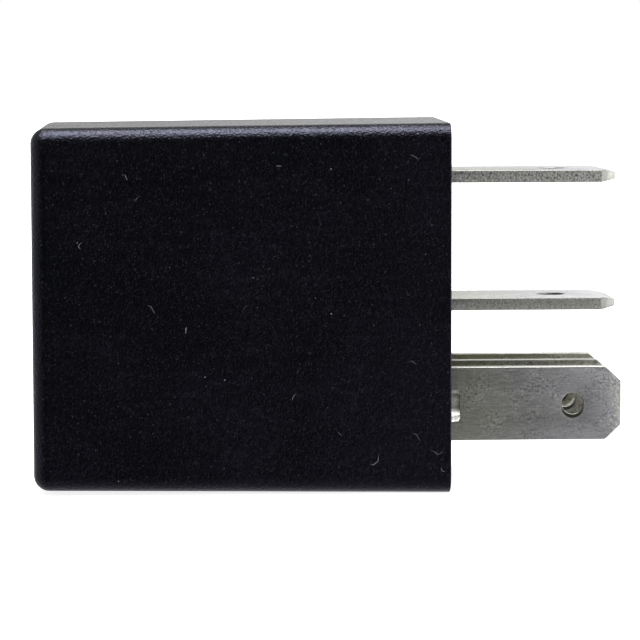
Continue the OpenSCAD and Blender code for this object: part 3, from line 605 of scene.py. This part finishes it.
def cover_rings():
    """Rings of points from the closed end's outside, over the mouth's lip, to the closed end's inside."""
    draft = math.tan(math.radians(0.57))
    # Thickness of the wall, and radius of the outer edges, the inner edges and the mouth's lip
    wall, edge, inner_edge, lip = 1 * MM, 1 * MM, 0.5 * MM, 0.12 * MM
    corner_steps, end_steps, small_steps = 12, 12, 4
    least_radius = 0.001 * MM

    def level(depth, inset, radius, round_at_end=0):
        """Ring at depth behind the mouth, set in by inset and, where the end is rounded, by that too."""
        half_h = COVER_H / 2 - inset - depth * draft - round_at_end
        half_d = COVER_D / 2 - inset - depth * draft - round_at_end
        radius = max(radius - round_at_end, least_radius)
        return rounded_ring(half_h, half_d, radius, SEAT.x - depth, corner_steps)

    rings = []
    for angle in reversed(quarter_turn(end_steps)):
        rings.append(level(COVER_L - edge + edge * math.sin(angle), 0, edge, edge * (1 - math.cos(angle))))
    for share in (0.75, 0.5, 0.25):
        rings.append(level(COVER_L * share, 0, edge))
    for angle in quarter_turn(small_steps):
        rings.append(level(lip * (1 - math.sin(angle)), lip * (1 - math.cos(angle)), edge))
    rings.append(level(0, wall - lip, edge - wall + inner_edge))
    rings.append(level(lip, wall, inner_edge))
    for share in (0.3, 0.6):
        rings.append(level(COVER_L * share, wall, inner_edge))
    for angle in quarter_turn(small_steps):
        depth = COVER_L - wall - inner_edge * (1 - math.sin(angle))
        rings.append(level(depth, wall, inner_edge, inner_edge * (1 - math.cos(angle))))
    return rings


def cover_piece():
    """The cover as one shell: drafted sides, rounded closed end, open mouth, and pockets for the latches."""
    work = bmesh.new()
    rows = [[work.verts.new(point) for point in ring] for ring in cover_rings()]
    count = len(rows[0])
    for a, b in zip(rows, rows[1:]):
        for i in range(count):
            work.faces.new((a[i], a[(i + 1) % count], b[(i + 1) % count], b[i]))
    work.faces.new(reversed(rows[0]))
    work.faces.new(rows[-1])
    bmesh.ops.remove_doubles(work, verts=work.verts, dist=0.002 * MM)
    bmesh.ops.recalc_face_normals(work, faces=work.faces)
    piece = built("cover_shell", work)
    cut_by(piece, latch_blocks())
    weigh = piece.modifiers.new("normals", "WEIGHTED_NORMAL")
    weigh.keep_sharp = True
    finish_object(piece, "cover_plastic", "relay_body")
    piece.data.set_sharp_from_angle(angle=math.radians(60))
    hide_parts("cover")


def contact_spring_piece():
    """The leaf: a copy of the contact spring's mesh in spring copper, which stands for the node."""
    mesh = NODES["contact_spring"].data.copy()
    piece = placed("contact_leaf", mesh)
    mesh.materials.clear()
    mesh.materials.append(FINISHES["spring_copper"])
    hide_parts("contact_spring")
    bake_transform(piece)


cover_piece()
rounded_copy("base", "base_plastic", width=0.06 * MM)
rounded_copy("terminal_30", "tinned_brass_gritty", width=0.05 * MM, rolled=2.4)
rounded_copy("terminal_87", "tinned_brass_flat", width=0.05 * MM, rolled=2.4)
rounded_copy("terminal_86", "tinned_brass_upright", width=0.06 * MM)
for small in ("terminal_85", "terminal_87a"):
    rounded_copy(small, "tinned_brass_aged_shaded", width=0.06 * MM)
contact_spring_piece()

# The inner nodes keep their CAD mesh, by finish
INNER = {
    "bobbin_plastic": ("bobbin",),
    "coil_wire": ("winding", "coil_lead_85", "coil_lead_86"),
    "bare_steel": ("core", "yoke", "armature"),
    "contact_silver": ("moving_contact", "contact_no", "contact_nc"),
    "rivet_copper": ("armature_rivet_1", "armature_rivet_2", "yoke_rivet_1", "yoke_rivet_2"),
    "resistor_coat": ("resistor",),
    "wire_tin": ("resistor_lead_85", "resistor_lead_86"),
    "solder_tin": ("solder_85", "solder_86"),
}
for finish, nodes in INNER.items():
    for node in nodes:
        NODES[node].data.materials.clear()
        NODES[node].data.materials.append(FINISHES[finish])


# ------------------------------------------------------------- floor and light

def floor():
    """A pale sheet of paper under the relay, which glossy surfaces don't mirror."""
    half_width = 3.0
    work = bmesh.new()
    bmesh.ops.create_grid(work, x_segments=1, y_segments=1, size=half_width)
    made = built("floor", work)
    finish, tree, shader, place = material("floor_paper", Roughness=0.9)
    shader.inputs["Specular IOR Level"].default_value = 0.0
    shader.inputs["Emission Color"].default_value = (1, 1, 1, 1)
    shader.inputs["Emission Strength"].default_value = 0.85
    feed(tree, shader, Base_Color=ramp(tree, noise(tree, place, 30, 2), [(0, 0.80), (1, 0.82)]))
    made.data.materials.append(finish)
    made.visible_glossy = False


def studio_light(tree, peak):
    """The studio's light by direction, as a share of its peak."""
    direction = add(tree, "ShaderNodeTexCoord").outputs["Generated"]
    x, y, z = apart(tree, direction)
    angle = math_node(tree, "ARCTAN2", z, y)
    # Radiance by height: 0 degrees is level behind the relay, 90 overhead and 180 level in front
    stops = (
        (-180, 0.04), (-134, 0.19), (-90, 0.48), (-45, 0.80), (0, 1.02), (14, 1.02), (28, 0.66), (50, 0.28),
        (76, 0.9), (88, peak), (108, peak), (119, 4.0), (130, 0.5), (148, 0.09), (180, 0.04),
    )
    shares = [((degrees + 180) / 360, radiance / peak) for degrees, radiance in stops]
    light = ramp(tree, span(tree, angle, -math.pi, math.pi), shares)
    # The softbox fades towards the blades, and the white behind and the front grow brighter that way
    behind = span(tree, x, -0.05, 0.08, 0.70, 1.0)
    overhead = span(tree, x, -0.05, 0.10, 1.0, 0.45)
    overhead = product(tree, overhead, span(tree, x, -0.45, -0.15, 0.15, 1, smooth=True))
    front = span(tree, x, 0.0, 0.60, 0.9, 4.4)
    is_overhead = span(tree, angle, math.radians(35), math.radians(60))
    is_front = math_node(tree, "GREATER_THAN", math_node(tree, "ABSOLUTE", angle), math.radians(140))
    fade = add(tree, "ShaderNodeMix", {0: is_overhead, 2: behind, 3: overhead}).outputs[0]
    fade = add(tree, "ShaderNodeMix", {0: is_front, 2: fade, 3: front}).outputs[0]
    light = add(tree, "ShaderNodeVectorMath", {0: light, "Scale": fade}, operation="SCALE").outputs[0]
    left_side = span(tree, x, -0.70, -0.95, smooth=True)
    right_side = span(tree, x, 0.75, 0.95, smooth=True)
    light = blend_colour(tree, left_side, light, 0.36 / peak)
    return blend_colour(tree, right_side, light, 1.3 / peak)


def studio():
    """Soft light all round: a wide softbox overhead, white behind, dim in front and under.
    The camera sees plain white instead, wherever it stands."""
    peak = 12.0
    world = bpy.data.worlds.new("studio")
    bpy.context.scene.world = world
    world.use_nodes = True
    tree = world.node_tree
    lit = tree.nodes["Background"]
    feed(tree, lit, Color=studio_light(tree, peak))
    lit.inputs["Strength"].default_value = peak
    seen = add(tree, "ShaderNodeBackground", {"Color": (1, 1, 1, 1), "Strength": 1.0})
    straight = add(tree, "ShaderNodeLightPath").outputs["Is Camera Ray"]
    both = add(tree, "ShaderNodeMixShader", {0: straight, 1: lit.outputs[0], 2: seen.outputs[0]})
    tree.links.new(both.outputs[0], tree.nodes["World Output"].inputs[0])


def camera():
    """Long lens, a little above the relay and a little to its left, as a product shot is taken."""
    yaw, pitch, roll = (math.radians(degrees) for degrees in (-2.442, 5.472, 0.143))
    seat_from_camera = Vector((8.102, 1.373, 203.497)) * MM
    right = Vector((math.cos(yaw), math.sin(yaw), 0))
    level = Vector((-math.sin(yaw), math.cos(yaw), 0))
    up = Vector((0, 0, math.cos(pitch))) + level * math.sin(pitch)
    forward = level * math.cos(pitch) - Vector((0, 0, math.sin(pitch)))
    rolled_right = right * math.cos(roll) - up * math.sin(roll)
    rolled_up = right * math.sin(roll) + up * math.cos(roll)
    place = SEAT - rolled_right * seat_from_camera.x - rolled_up * seat_from_camera.y
    place = place - forward * seat_from_camera.z
    data = bpy.data.cameras.new("camera")
    data.sensor_width = 36
    data.lens = 172.65
    data.clip_start, data.clip_end = 0.01, 20
    made = placed("camera", data)
    for row in range(3):
        for column, axis in enumerate((rolled_right, rolled_up, -forward, place)):
            made.matrix_world[row][column] = axis[row]
    bpy.context.scene.camera = made


floor()
studio()
camera()
bpy.context.scene.view_settings.view_transform = "Standard"
